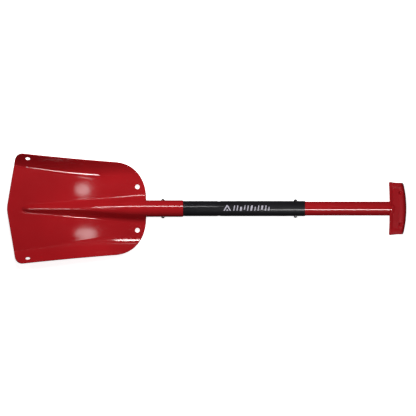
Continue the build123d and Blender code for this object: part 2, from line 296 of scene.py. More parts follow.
def pan_height(station):
    """Height of the pan's upper face above the ground."""
    return PAN_REAR_HEIGHT + PAN_LIFT * (BLADE_LENGTH - station)


def bend_line(station):
    """Half width at which the side starts to curl, and half the bend's width."""
    bend = ramp(BEND_START[1], BEND_END[1], BEND_START[0], BEND_END[0], station)
    return bend, ease(BEND_ROUND_FRONT, BEND_ROUND_REAR, *BEND_ROUND_SPAN, station)


def sheet_height(station, half):
    """Height of the sheet's upper face, clear of the ridge."""
    bend, soft = bend_line(station)
    rise = ease(CURL_RISE_FRONT, CURL_RISE_REAR, *CURL_SPAN, station)
    beyond = half - bend
    in_bend = np.clip(beyond + soft, 0.0, None) ** 2 / (4.0 * soft)
    reach = np.where(beyond < soft, in_bend, beyond)
    return pan_height(station) + rise * reach + CURL_STEEPENING * reach * reach


def sheet_normal(station, half):
    """Unit normal of the sheet's upper face on the +Y side, clear of the ridge."""
    step = 0.5
    along = sheet_height(station + step, half) - sheet_height(station - step, half)
    across = sheet_height(station, half + step) - sheet_height(station, half - step)
    return unit(np.stack([-along, -across, np.full_like(along, 2 * step)], axis=-1))


def ridge_shape(station):
    """Crest radius, fillet radius, flank angle, rise and half width of the ridge."""
    crest = ease(CREST_RADIUS_FRONT, SOCKET_RADIUS, CREST_RADIUS_START, CREST_RADIUS_END, station)
    fillet = ramp(FILLET_FRONT, FILLET_REAR, RIDGE_NOSE, CREST_RADIUS_END, station)
    rise = AXIS_Z + SOCKET_RADIUS - pan_height(station)
    half = ramp(RIDGE_HALF_FRONT, RIDGE_HALF_REAR, RIDGE_NOSE_END, RIDGE_HALF_END, station)
    low = np.full_like(station, FLANK_ANGLE_LOW)
    high = np.full_like(station, FLANK_ANGLE_HIGH)
    for _ in range(HALVINGS):
        angle = (low + high) / 2
        flank = rise - (crest + fillet) * (1.0 - np.cos(angle))
        wide = (crest + fillet) * np.sin(angle) + flank / np.tan(angle) > half
        low = np.where(wide, angle, low)
        high = np.where(wide, high, angle)
    return crest, fillet, angle, rise, half


def ridge_columns(station):
    """Half widths and heights of the ridge's columns at each station, crest first."""
    crest, fillet, angle, rise, half = ridge_shape(np.maximum(station, RIDGE_NOSE_END))
    lift = ease(0.0, 1.0, RIDGE_NOSE, RIDGE_NOSE_END, station)
    narrow = ease(RIDGE_NOSE_WIDTH, 1.0, RIDGE_NOSE - RIDGE_NOSE_LEAD, RIDGE_NOSE_END, station)
    places = []
    for turn in (angle * k / ARC_COLUMNS for k in range(ARC_COLUMNS + 1)):
        places.append((crest * np.sin(turn), rise - crest * (1.0 - np.cos(turn))))
    near = places[-1]
    far = (half - fillet * np.sin(angle), fillet * (1.0 - np.cos(angle)))
    for t in steps(FLANK_COLUMNS):
        places.append((near[0] + (far[0] - near[0]) * t, near[1] + (far[1] - near[1]) * t))
    for turn in (angle * (1.0 - t) for t in steps(FILLET_COLUMNS)):
        places.append((half - fillet * np.sin(turn), fillet * (1.0 - np.cos(turn))))
    base = pan_height(station)
    return [(y * narrow, base + z * lift) for y, z in places]


def three_point_arc(a, b, c, count):
    """Points on the circle through a, b and c, from a to c."""
    a, b, c = (np.array(p, float) for p in (a, b, c))
    matrix = np.array([b - a, c - b])
    right = np.array([(b @ b - a @ a) / 2, (c @ c - b @ b) / 2])
    centre = np.linalg.solve(matrix, right)
    first = math.atan2(*(a - centre)[::-1])
    last = math.atan2(*(c - centre)[::-1])
    return around(centre, np.linalg.norm(a - centre), np.linspace(first, last, count))


def around(centre, radius, angles):
    """Points on a circle in plan."""
    return centre + radius * np.stack([np.cos(angles), np.sin(angles)], axis=-1)


def half_outline():
    """Outline of the +Y half of the blade from its tip to the socket, as a fine run of points."""
    tip = around((TIP_RADIUS, 0), TIP_RADIUS,
                 math.pi - np.linspace(0, FRONT_RAKE, TIP_SAMPLES))
    # The straight front edge and the side's first tangent meet at a corner, which is rounded
    rake = math.tan(FRONT_RAKE)
    apex = -TIP_RADIUS * (1.0 / math.cos(FRONT_RAKE) - 1.0)
    line_y = (SIDE_START[1] + SIDE_SLOPE * (apex - SIDE_START[0])) / (1.0 - SIDE_SLOPE * rake)
    corner = np.array([apex + rake * line_y, line_y])
    side_angle = math.atan(SIDE_SLOPE)
    back = CORNER_RADIUS * math.tan((math.pi / 2 - FRONT_RAKE - side_angle) / 2)
    front_end = corner - np.array([math.sin(FRONT_RAKE), math.cos(FRONT_RAKE)]) * back
    centre = front_end + CORNER_RADIUS * np.array([math.cos(FRONT_RAKE), -math.sin(FRONT_RAKE)])
    front = tip[-1] + (front_end - tip[-1]) * np.linspace(0, 1, FRONT_SAMPLES + 1)[:, None]
    arc = around(centre, CORNER_RADIUS,
                 np.linspace(math.pi - FRONT_RAKE, math.pi / 2 + side_angle, CORNER_SAMPLES))
    side = three_point_arc(arc[-1], SIDE_MIDDLE, SIDE_END, SIDE_SAMPLES)
    pulls = np.array([SIDE_END,
                      (SIDE_END[0] + SHOULDER_REACH, SIDE_END[1] - SHOULDER_SLOPE * SHOULDER_REACH),
                      (BLADE_LENGTH, NECK_HALF + NECK_REACH),
                      (BLADE_LENGTH, NECK_HALF)])
    t = np.linspace(0, 1, SHOULDER_SAMPLES)[:, None]
    shoulder = ((1 - t) ** 3 * pulls[0] + 3 * t * (1 - t) ** 2 * pulls[1]
                + 3 * t * t * (1 - t) * pulls[2] + t ** 3 * pulls[3])
    neck = [(BLADE_LENGTH, y) for y in np.linspace(NECK_HALF, 0, NECK_SAMPLES)]
    return np.vstack([tip[:-1], front[:-1], arc[:-1], side[:-1], shoulder[:-1], neck])


def inset_outline():
    """The half outline moved in by the edge's rounding, cut into its front edge, its side and its
    rear edge. The front and the rear run outwards, and the side runs from front to rear."""
    points = half_outline()
    tangent = unit(np.gradient(points, axis=0))
    outward = np.stack([-tangent[:, 1], tangent[:, 0]], axis=-1)
    inset = points - outward * EDGE_ROUND
    inset[[0, -1], 1] = 0.0
    heading = np.degrees(np.arctan2(tangent[:, 0], tangent[:, 1]))
    heading = np.where(heading < -90, heading + 360, heading)
    first = int(np.argmax(heading > FRONT_ENDS_AT))
    last = int(np.argmax(heading > SIDE_ENDS_AT))
    return inset[:first + 1], inset[first:last + 1], inset[last:][::-1]


def blade_grid():
    """Upper face of the whole blade as a grid of points, rows from front to rear."""
    front, side, rear = inset_outline()
    columns = (ARC_COLUMNS + FLANK_COLUMNS + FILLET_COLUMNS + PAN_COLUMNS + BEND_COLUMNS
               + WALL_COLUMNS)
    fine = np.linspace(0, 1, ROW_SAMPLES)
    # How far each edge runs behind the straight line between its two ends
    front_bow, rear_bow = (np.interp(fine * edge[-1, 1], edge[:, 1], edge[:, 0])
                           - (1 - fine) * edge[0, 0] - fine * edge[-1, 0] for edge in (front, rear))
    grid = np.zeros((BLADE_ROWS + 1, 2 * columns + 1, 3))
    for i in range(BLADE_ROWS + 1):
        u = i / BLADE_ROWS
        side_x = side[0, 0] + u * (side[-1, 0] - side[0, 0])
        centre_x = front[0, 0] + u * (rear[0, 0] - front[0, 0])
        x = (1 - fine) * centre_x + fine * side_x + (1 - u) * front_bow + u * rear_bow
        y = fine * np.interp(side_x, side[:, 0], side[:, 1])
        lines = [half for half, _ in ridge_columns(x)]
        inner = lines[-1]
        bend, soft = bend_line(x)
        lines += [inner + (bend - soft - inner) * t for t in steps(PAN_COLUMNS)]
        lines += [bend - soft + 2 * soft * t for t in steps(BEND_COLUMNS)]
        stops = [np.interp(0.0, y - line, fine) for line in lines]
        stops += list(stops[-1] + (1 - stops[-1]) * steps(WALL_COLUMNS))
        row_x = np.interp(stops, fine, x)
        row_y = np.interp(stops, fine, y)
        row_y[0] = 0.0
        row_z = sheet_height(row_x, row_y)
        for k, (_, height) in enumerate(ridge_columns(row_x)):
            row_z[k] = height[k]
        half = np.stack([row_x + TIP_X, row_y, row_z], axis=-1)
        grid[i, columns:] = half
        grid[i, :columns] = (half * (1, -1, 1))[:0:-1]
    return grid


def grid_normals(grid):
    """Unit normals of a grid of points, upwards."""
    normal = unit(np.cross(np.gradient(grid, axis=0), np.gradient(grid, axis=1)))
    return normal * np.sign(normal[..., 2:3])


def punch_sheet(shape, grid, top, bottom, station, half, sign):
    """Lipped round hole square to the sheet. Returns the grid cells it takes the place of."""
    centre = np.array([TIP_X + station, sign * half, sheet_height(station, half)])
    normal = sheet_normal(np.array(station), np.array(half)) * (1, sign, 1)
    along = unit(np.cross((0, 1, 0), normal))
    across = np.cross(normal, along)
    offset = np.abs(grid[..., :2] - centre[:2])
    wide = BLADE_HOLE_RADIUS + BLADE_HOLE_MARGIN
    tall = abs(across[1]) * BLADE_HOLE_RADIUS + BLADE_HOLE_MARGIN
    rim, cells = block_round((offset[..., 0] < wide) & (offset[..., 1] < tall))
    away = pick(grid, rim) - centre
    flat = np.stack([away @ along, away @ across], axis=-1)
    circle = unit(flat)
    above, below = [pick(top, rim)], [pick(bottom, rim)]
    for t in steps(BLADE_HOLE_RINGS):
        spot = flat * (1 - t) + circle * (BLADE_HOLE_RADIUS + LIP) * t
        place = centre + spot[:, :1] * along + spot[:, 1:] * across
        where = (place[:, 0] - TIP_X, np.abs(place[:, 1]))
        surface = np.column_stack([place[:, :2], sheet_height(*where)])
        above.append(shape.add(surface))
        below.append(shape.add(surface - SHEET * sheet_normal(*where) * (1, sign, 1)))
    wall = centre + BLADE_HOLE_RADIUS * (circle[:, :1] * along + circle[:, 1:] * across)
    lips = [shape.add(wall - normal * depth) for depth in (LIP, SHEET - LIP)]
    shape.chain(above + lips + below[::-1])
    return cells


def round_edge(shape, grid, normals, top, bottom):
    """Rounded rim between the sheet's two faces, round the outline except at the socket."""
    rows, columns = top.shape
    middle = columns // 2
    rim = [(rows - 1, j) for j in range(middle + ARC_COLUMNS, columns)]
    rim += [(i, columns - 1) for i in range(rows - 2, -1, -1)]
    rim += [(0, j) for j in range(columns - 2, -1, -1)]
    rim += [(i, 0) for i in range(1, rows)]
    rim += [(rows - 1, j) for j in range(1, middle - ARC_COLUMNS + 1)]
    points = pick(grid, rim)
    normal = pick(normals, rim)
    outward = unit(np.cross(unit(np.gradient(points, axis=0)), normal))
    outward *= np.sign(np.sum(outward * (points - grid[rows // 2, middle])))
    quarter = [(EDGE_ROUND * math.sin(angle), EDGE_ROUND * (1 - math.cos(angle)))
               for angle in (math.pi / 6, math.pi / 3, math.pi / 2)]
    profile = quarter + [(out, SHEET - down) for out, down in quarter[::-1]]
    rings = [shape.add(points + outward * out - normal * down) for out, down in profile]
    shape.chain([pick(top, rim), *rings, pick(bottom, rim)], closed=False)


# ---- socket and tubes


def on_tube(x, angle, radius):
    """Point on a tube's wall at an angle round from the top towards +Y."""
    return np.stack([np.broadcast_to(x, np.shape(angle)), radius * np.sin(angle),
                     AXIS_Z + radius * np.cos(angle)], axis=-1)


def tube_walls(shape, stations, angles, radii):
    """Adds the points of a tube's outer and inner wall. Each wall is its numbers, its points and
    its radius."""
    walls = []
    for radius in radii:
        points = np.array([on_tube(x, angles, radius) for x in stations])
        walls.append((shape.add(points), points, radius))
    return walls


def side_hole(shape, walls, centre_x, sign):
    """Lipped round button hole through a tube's side. Returns the cells it takes the place of."""
    points = walls[0][1]
    margin = BUTTON_HOLE_RADIUS + BUTTON_HOLE_MARGIN
    near = (np.abs(points[..., 0] - centre_x) < margin) & (np.abs(points[..., 2] - AXIS_Z) < margin)
    rim, cells = block_round(near & (np.sign(points[..., 1]) == sign))
    rings = []
    for (numbers, grid, radius), inward in zip(walls, (LIP, -LIP)):
        flat = pick(grid, rim)[:, ::2] - (centre_x, AXIS_Z)
        circle = unit(flat)
        spots = [(flat * (1 - t) + circle * (BUTTON_HOLE_RADIUS + LIP) * t, 0.0)
                 for t in steps(BUTTON_HOLE_RINGS)]
        spots.append((circle * BUTTON_HOLE_RADIUS, inward))
        wall_rings = [pick(numbers, rim)]
        for spot, inset in spots:
            out = sign * (np.sqrt(radius ** 2 - spot[:, 1] ** 2) - inset)
            wall_rings.append(shape.add(np.column_stack([centre_x + spot[:, 0], out,
                                                         AXIS_Z + spot[:, 1]])))
        rings += wall_rings if inward > 0 else wall_rings[::-1]
    shape.chain(rings)
    return cells


def rounded_end(shape, x, angles, radii, outer_row, inner_row):
    """Rows of a tube's rounded end, from its outer wall to its inner wall."""
    return [outer_row, shape.add(on_tube(x, angles, radii[0] - LIP)),
            shape.add(on_tube(x, angles, radii[1] + LIP)), inner_row]


def add_socket(shape, grid, top, bottom):
    """Rolled socket that grows out of the ridge's rear end, open along a seam underneath."""
    middle = top.shape[1] // 2
    arc = slice(middle - ARC_COLUMNS, middle + ARC_COLUMNS + 1)
    start_x = grid[-1, middle, 0]
    crest_end = grid[-1, middle + ARC_COLUMNS]
    end_angle = math.atan2(crest_end[1], crest_end[2] - AXIS_Z)
    # The columns run round from the ridge's own, over the top, to those of the underside, which
    # leave a narrow gap for the seam
    upper = end_angle * np.arange(-ARC_COLUMNS, ARC_COLUMNS + 1) / ARC_COLUMNS
    under = end_angle + ((math.pi - end_angle - SEAM_HALF / SOCKET_RADIUS)
                         * steps(HALF_UNDERSIDE_COLUMNS))
    angles = np.concatenate([upper, under, 2 * math.pi - under[::-1]])
    seam = len(upper) + HALF_UNDERSIDE_COLUMNS - 1
    by_hole = LOWER_BUTTON_X + BY_A_HOLE
    stations = np.concatenate([np.linspace(start_x, by_hole[0], SOCKET_FRONT_ROWS)[:-1], by_hole,
                               np.linspace(by_hole[-1], MOUTH_X - LIP, SOCKET_MOUTH_ROWS)[1:]])
    radii = (SOCKET_RADIUS, SOCKET_BORE)
    walls = tube_walls(shape, stations, angles, radii)
    outer, inner = walls[0][0], walls[1][0]
    outer[0, :len(upper)] = top[-1, arc]
    skip = {(i, seam) for i in range(len(stations) - 1)}
    for sign in (1, -1):
        skip |= side_hole(shape, walls, LOWER_BUTTON_X, sign)
    shape.grid(outer, skip, closed=True)
    shape.grid(inner, skip, closed=True)
    for column in (seam, seam + 1):
        shape.bridge(outer[:, column], inner[:, column])
    shape.bridge(bottom[-1, arc], inner[0, :len(upper)])

    # Tongue of the underside that runs forward below the sheet
    turns = np.concatenate([upper[-1:], angles[len(upper):], [2 * math.pi - end_angle]])
    front_x = TIP_X + SOCKET_TONGUE + SCARF * np.maximum(0.0, -SOCKET_RADIUS * np.cos(turns))
    gap = {(i, HALF_UNDERSIDE_COLUMNS) for i in range(TONGUE_ROWS)}
    tips = []
    for numbers, _, radius in walls:
        rows = [shape.add(on_tube(front_x + (start_x - front_x) * i / TONGUE_ROWS, turns, radius))
                for i in range(TONGUE_ROWS)]
        rows.append(np.append(numbers[0, len(upper) - 1:], numbers[0, 0]))
        shape.grid(np.array(rows), gap)
        tips.append(rows[0])
    for part in (slice(HALF_UNDERSIDE_COLUMNS + 1), slice(HALF_UNDERSIDE_COLUMNS + 1, None)):
        shape.bridge(tips[0][part], tips[1][part])

    mouth = rounded_end(shape, MOUTH_X, angles, radii, outer[-1], inner[-1])
    shape.chain([np.roll(row, -seam - 1) for row in mouth], closed=False)


def make_blade(material):
    """Pressed sheet with curled sides, ridge, rolled rim, four holes and the socket."""
    grid = blade_grid()
    normals = grid_normals(grid)
    shape = Shape()
    top = shape.add(grid)
    bottom = shape.add(grid - SHEET * normals)
    skip = set()
    for station, half in (FRONT_HOLE, REAR_HOLE):
        for sign in (1, -1):
            skip |= punch_sheet(shape, grid, top, bottom, station, half, sign)
    shape.grid(top, skip)
    shape.grid(bottom, skip)
    round_edge(shape, grid, normals, top, bottom)
    add_socket(shape, grid, top, bottom)
    shape.build("blade_shell", material, "blade", ("blade",))


def make_tube(name, ends, radii, holes, material, body, nodes):
    """Round tube along the shaft with rounded ends and lipped button holes."""
    angles = 2 * math.pi * np.arange(TUBE_COLUMNS) / TUBE_COLUMNS
    first, last = ends[0] + LIP, ends[1] - LIP
    stations = list(np.linspace(first, last, int((last - first) / TUBE_ROW_STEP)))
    for x in holes:
        stations = [station for station in stations if abs(station - x) > CLEAR_OF_HOLE]
        stations += list(x + BY_A_HOLE)
    shape = Shape()
    walls = tube_walls(shape, sorted(stations), angles, radii)
    skip = set()
    for x in holes:
        for sign in (1, -1):
            skip |= side_hole(shape, walls, x, sign)
    outer, inner = walls[0][0], walls[1][0]
    shape.grid(outer, skip, closed=True)
    shape.grid(inner, skip, closed=True)
    for row, x in zip((0, -1), ends):
        shape.chain(rounded_end(shape, x, angles, radii, outer[row], inner[row]))
    shape.build(name, material, body, nodes)


# ---- grip

GRIP_HALF = 54.9
GRIP_DEPTH = 36.0
GRIP_TOP = 34.0
PALM_SAGITTA = 6.6
SHAFT_SIDE_SAGITTA = 1.6
END_LEAN = 2.2
END_DIP = 1.0
PALM_CORNER = 4.0
SHAFT_CORNER = 2.6
CORNER_STEPS = 14
CORNER_CLEAR = 1.15
CORNER_AIM = 30
LONG_SAMPLES = 300
SHORT_SAMPLES = 120
PLAN_POINTS = 260
PALM_ROUND = 7.0
SIDE_ROUND = 2.2
ROUND_FACING = (0.25, 0.85)
ROUND_RINGS = 9
SIDE_RINGS = (0.35, 0.7, 0.96, 1.0)
PARTING_HALF = 0.3
PARTING_DEPTH = 0.12
FACE_RINGS = 18
SPINE_BACK = 20.0
SPINE_HALF = 38.0

# Relief of the grip. The spans are distances over which it comes and goes.
DIMPLE_Y = 32.0
DIMPLE_X = 394.5
DIMPLE_DEPTH = 2.4
DIMPLE_RADIUS = 4.6
DIMPLE_FLAT = 0.15
HOLLOW_DEPTH = 1.2
HOLLOW_START = (3.0, 9.0)
HOLLOW_STOP = (21.0, 30.0)
HOLLOW_HALF = (39.0, 47.0)
FACE_HEIGHT = (9.0, 15.0)
NOTCH_DEPTH = 5.0
NOTCH_HALF = 11.0
NOTCH_FLAT = 0.35
NOTCH_REACH = (6.0, 18.0)
NOTCH_HEIGHT = (24.0, 31.0)


def rounded_corner(a, corner, c, radius):
    """Arc that rounds the corner between points a and c."""
    one = unit(a - corner)
    two = unit(c - corner)
    half_angle = math.acos(float(np.clip(one @ two, -1, 1))) / 2
    reach = radius / math.tan(half_angle)
    centre = corner + unit(one + two) * radius / math.sin(half_angle)
    start = corner + one * reach - centre
    end = corner + two * reach - centre
    sweep = np.sign(start[0] * end[1] - start[1] * end[0]) * (math.pi - 2 * half_angle)
    first = math.atan2(start[1], start[0])
    return around(centre, radius, first + sweep * np.linspace(0, 1, CORNER_STEPS + 1))


def grip_outline():
    """Plan of the grip, evenly spaced, going round anticlockwise from the palm's -Y corner."""
    back = GRIP_END - PALM_SAGITTA
    front = GRIP_END - GRIP_DEPTH
    near = GRIP_HALF - END_LEAN
    waist = GRIP_HALF - END_LEAN / 2 - END_DIP
    middle = (back + front) / 2
    corners = [(back, -near), (back, near), (front, GRIP_HALF), (front, -GRIP_HALF), (back, -near)]
    bulges = [(GRIP_END, 0), (middle, waist), (front + SHAFT_SIDE_SAGITTA, 0), (middle, -waist)]
    runs = [three_point_arc(corners[k], bulges[k], corners[k + 1],
                            SHORT_SAMPLES if k % 2 else LONG_SAMPLES) for k in range(4)]
    radii = [PALM_CORNER, SHAFT_CORNER, SHAFT_CORNER, PALM_CORNER]
    parts = []
    for k, run in enumerate(runs):
        from_start = np.linalg.norm(run - run[0], axis=1)
        to_end = np.linalg.norm(run - run[-1], axis=1)
        parts.append(run[(from_start > radii[k - 1] * CORNER_CLEAR)
                         & (to_end > radii[k] * CORNER_CLEAR)])
        parts.append(rounded_corner(run[-CORNER_AIM], run[-1], runs[(k + 1) % 4][CORNER_AIM],
                                    radii[k]))
    loop = np.vstack([*parts, parts[0][:1]])
    length = np.append(0, np.cumsum(np.linalg.norm(np.diff(loop, axis=0), axis=1)))
    spots = np.linspace(0, length[-1], PLAN_POINTS, endpoint=False)
    return np.column_stack([np.interp(spots, length, loop[:, axis]) for axis in (0, 1)])


def grip_relief(points):
    """Dimples and a shallow hollow in the two broad faces, and the notch over the tube, applied
    to points of the grip."""
    x, y, z = points.T
    depth = np.zeros(len(points))
    for sign in (1, -1):
        away = np.hypot(x - DIMPLE_X, y - sign * DIMPLE_Y) / DIMPLE_RADIUS
        depth += DIMPLE_DEPTH * ease(1.0, 0.0, DIMPLE_FLAT, 1.0, away)
    behind = x - (GRIP_END - GRIP_DEPTH)
    hollow = ease(0.0, 1.0, *HOLLOW_START, behind) * ease(1.0, 0.0, *HOLLOW_STOP, behind)
    depth += HOLLOW_DEPTH * hollow * ease(1.0, 0.0, *HOLLOW_HALF, np.abs(y))
    up = z - GRIP_TOP / 2
    notch = (ease(1.0, 0.0, *NOTCH_REACH, behind) * ease(0.0, 1.0, *NOTCH_HEIGHT, z)
             * ease(1.0, 0.0, NOTCH_FLAT, 1.0, np.abs(y) / NOTCH_HALF))
    return np.column_stack([x + NOTCH_DEPTH * notch, y,
                            z - np.sign(up) * depth * ease(0.0, 1.0, *FACE_HEIGHT, np.abs(up))])


def make_grip(material):
    """Moulded cross grip: rounded rims, dimples, a notch over the tube and a parting line."""
    outline = grip_outline()
    tangent = unit(np.roll(outline, -1, axis=0) - np.roll(outline, 1, axis=0))
    outward = np.stack([tangent[:, 1], -tangent[:, 0]], axis=-1)
    round_by = ease(SIDE_ROUND, PALM_ROUND, *ROUND_FACING, outward[:, 0])
    flat = np.zeros(len(outline))
    levels = [(round_by * (1 - math.cos(angle)), GRIP_TOP - round_by * (1 - math.sin(angle)))
              for angle in np.linspace(math.pi / 2, 0, ROUND_RINGS)]
    rim_height = levels[-1][1]
    levels += [(flat, rim_height + (GRIP_TOP / 2 + PARTING_HALF - rim_height) * t)
               for t in SIDE_RINGS]
    levels.append((flat + PARTING_DEPTH, flat + GRIP_TOP / 2))
    levels += [(inset, GRIP_TOP - height) for inset, height in levels[-2::-1]]
    shape = Shape()
    rings = [shape.add(grip_relief(np.column_stack([outline - outward * inset[:, None], height])))
             for inset, height in levels]
    shape.chain(rings)
    # Rings of the two broad faces, closing in on a line across the grip
    rim = outline - outward * round_by[:, None]
    spine = np.column_stack([flat + GRIP_END - SPINE_BACK,
                             np.clip(rim[:, 1], -SPINE_HALF, SPINE_HALF)])
    for ring, height in ((rings[0], GRIP_TOP), (rings[-1], 0.0)):
        face = [np.column_stack([rim * (1 - t) + spine * t, flat + height])
                for t in steps(FACE_RINGS)[:-1]]
        shape.chain([ring] + [shape.add(grip_relief(points)) for points in face])
    shape.build("t_grip_body", material, "handle", ("t_grip",), sharp=50)


# ---- buttons, clips and rivet

BUTTON_DOME = 1.7
BUTTON_CHAMFER = 0.15
DOME_RINGS = 12
DOME_START = 0.94
STEM_RADIUS = 1.5
STRIP_THICKNESS = 1.0
STRIP_WIDTH = 9.0
STRIP_ROUND = 0.2
STRIP_TAIL = 6.5
STRIP_FLAT = 7.0
CLIP_LENGTH = 44.7
BEND_HALF = 5.5
BEND_POINTS = 13
ARM_POINTS = 14
FLAT_POINTS = 12
LOWER_FACE = 13.4
UPPER_FACE = 12.1
RIVET_X = 388.0
TURNED_SIDES = 40


def turned(name, profile, axis_point, direction, material, body, nodes):
    """Solid of revolution: profile is (distance along the axis, radius), closed at both ends."""
    direction = np.array(direction, float)
    side = unit(np.cross(direction, (0.3, 0.1, 1.0)))
    other = np.cross(direction, side)
    angles = 2 * math.pi * np.arange(TURNED_SIDES) / TURNED_SIDES
    spokes = np.outer(np.cos(angles), side) + np.outer(np.sin(angles), other)
    shape = Shape()
    rings = [shape.add(axis_point + direction * along + spokes * radius)
             for along, radius in profile]
    shape.chain(rings)
    for ring, (along, _) in ((rings[0], profile[0]), (rings[-1], profile[-1])):
        centre = shape.add(axis_point + direction * along)
        for one, following in zip(ring, np.roll(ring, -1)):
            shape.face(one, following, centre)
    shape.build(name, material, body, nodes, sharp=40)


def make_button(name, x, face, reach, sign, material):
    """Domed button with a stem and a riveted head behind the strip."""
    back = face - STRIP_THICKNESS
    head = STEM_RADIUS + 0.5
    profile = [(back - 0.8, head - 0.3), (back - 0.6, head), (back, head), (back, STEM_RADIUS),
               (face, STEM_RADIUS), (face, BUTTON_RADIUS - BUTTON_CHAMFER),
               (face + BUTTON_CHAMFER, BUTTON_RADIUS), (reach - BUTTON_DOME - 0.2, BUTTON_RADIUS)]
    dome_radius = (BUTTON_RADIUS ** 2 + BUTTON_DOME ** 2) / (2 * BUTTON_DOME)
    limit = math.asin(BUTTON_RADIUS / dome_radius)
    for k in range(DOME_RINGS):
        turn = limit * DOME_START * (1 - k / DOME_RINGS)
        profile.append((reach - dome_radius * (1 - math.cos(turn)), dome_radius * math.sin(turn)))
    turned(name + "_dome", profile, np.array([x, 0.0, AXIS_Z]), (0, sign, 0), material, name,
           (name,))


def clip_path(x, face):
    """Centre line of one half of a clip, from the middle of its bend to its tail."""
    bend_x = x + CLIP_LENGTH - BEND_HALF
    flat_x = x + STRIP_FLAT
    side = face - STRIP_THICKNESS / 2
    bend = around((bend_x, 0), BEND_HALF, np.linspace(0, math.pi / 2, BEND_POINTS))
    arm = [(bend_x + (flat_x - bend_x) * t, BEND_HALF + (side - BEND_HALF) * t)
           for t in np.linspace(0.08, 1.0, ARM_POINTS)]
    flat = [(flat_x - (STRIP_FLAT + STRIP_TAIL) * t, side)
            for t in np.linspace(0.1, 1.0, FLAT_POINTS)]
    return np.vstack([bend, arm, flat])


def make_clip_arm(name, x, face, sign, material, node):
    """One arm of the folded clip: a strip swept along its bend, arm and flat tail."""
    path = clip_path(x, face)
    tangent = unit(np.gradient(path, axis=0))
    outward = np.stack([tangent[:, 1], -tangent[:, 0]], axis=-1)
    section = []
    flat_half = np.array([STRIP_THICKNESS, STRIP_WIDTH]) / 2 - STRIP_ROUND
    for k, corner in enumerate(((1, 1), (1, -1), (-1, -1), (-1, 1))):
        turns = math.pi / 2 * (1 - k - np.array([0.0, 0.5, 1.0]))
        section += list(around(corner * flat_half, STRIP_ROUND, turns))
    shape = Shape()
    rings = [shape.add([(spot[0] + out[0] * a, sign * (spot[1] + out[1] * a), AXIS_Z + b)
                        for a, b in section]) for spot, out in zip(path, outward)]
    shape.chain(rings)
    shape.face(*rings[0])
    shape.face(*rings[-1])
    arm = shape.build(name, material, None, (node,), sharp=40)
    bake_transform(arm)


def make_rivet(material):
    """Countersunk blind rivet under the grip, with the mandrel's hole in its head."""
    bulb = AXIS_Z - HANDLE_BORE + 0.35
    hole = [(0.9, 0.05), (0.9, 1.0), (0.12, 1.15), (0.0, 1.35)]
    head = [(0.0, 3.3), (0.12, 3.45), (1.4, 2.0)]
    blind_end = [(bulb, 2.0), (bulb, 2.6), (bulb + 0.5, 2.6), (bulb + 1.6, 2.1)]
    turned("grip_rivet_body", hole + head + blind_end, np.array([RIVET_X, 0.0, 0.0]), (0, 0, 1),
           material, "handle", ("grip_rivet",))


# ---- print on the middle tube

PRINT_START = 34.0
PRINT_LIFT = 0.06
PRINT_LOW = -4.4
PRINT_HIGH = 6.2
PRINT_ROWS = 7
PEAK_WIDTH = 15.6
PEAK_TOP = 9.4
PEAK_INSET = 3.4
BARS_START = 20.0
BAR_COUNT = 11
BAR_LEAN = 1.8
BAR_GAP = 4.6


def print_patch(shape, corners):
    """Small four-sided film of ink on the middle tube, given in plan as (x, y)."""
    a, b, c, d = (np.array(p, float) for p in corners)
    rims = []
    for lift in (PRINT_LIFT, -PRINT_LIFT):
        rows = []
        for t in np.linspace(0, 1, PRINT_ROWS):
            left = a + (d - a) * t
            right = b + (c - b) * t
            row = np.array([left, (left + right) / 2, right])
            height = AXIS_Z + np.sqrt((MID_RADIUS + lift) ** 2 - row[:, 1] ** 2)
            rows.append(shape.add(np.column_stack([row, height])))
        numbers = np.array(rows)
        shape.grid(numbers)
        rims.append(np.concatenate([numbers[0, :-1], numbers[:-1, -1], numbers[-1, :0:-1],
                                    numbers[:0:-1, 0]]))
    shape.chain(rims)


def make_print(material):
    """Generic print: a small peak mark and a row of slanted bars of uneven height."""
    shape = Shape()
    x, low, high = PRINT_START, PRINT_LOW, PRINT_HIGH
    end, peak, inset = x + PEAK_WIDTH, x + PEAK_TOP, low + PEAK_INSET
    print_patch(shape, [(x, low), (x + 2.6, low), (x + 8.6, high), (x + 6.6, high + 1.0)])
    print_patch(shape, [(end - 2.6, low), (end, low), (peak, high), (peak - 1.8, high - 1.6)])
    print_patch(shape, [(x + 5.4, low), (x + 10.4, low), (x + 8.2, inset), (x + 7.6, inset)])
    x += BARS_START
    for k in range(BAR_COUNT):
        wide = 2.0 + 1.6 * ((k * 5) % 3 == 1)
        top = high - 2.6 * ((k * 7) % 4 == 2)
        bottom = low + 2.4 * ((k * 3) % 5 == 4)
        foot, head = (x + (y - low) / (high - low) * BAR_LEAN for y in (bottom, top))
        print_patch(shape, [(foot, bottom), (foot + wide, bottom), (head + wide, top), (head, top)])
        x += wide + BAR_GAP
    shape.build("shaft_print", material, "shaft")


# ---- materials

WHITE = (1.0, 1.0, 1.0)
# Places of the colour sockets on a mix node, which share their names with other sockets
MIX_FACTOR, MIX_A, MIX_B, MIX_RESULT = 0, 6, 7, 2


def feed(tree, socket, value):
    """Sets a socket to a number or a colour, or links it to another node's output."""
    if isinstance(value, bpy.types.NodeSocket):
        tree.links.new(value, socket)
    else:
        socket.default_value = (*value, 1) if isinstance(value, tuple) else value


def add_node(tree, kind, inputs=(), **values):
    """New node with its settings, and with its inputs set or linked."""
    node = tree.nodes.new(kind)
    for key, value in values.items():
        setattr(node, key, value)
    for key, value in dict(inputs).items():
        feed(tree, node.inputs[key], value)
    return node


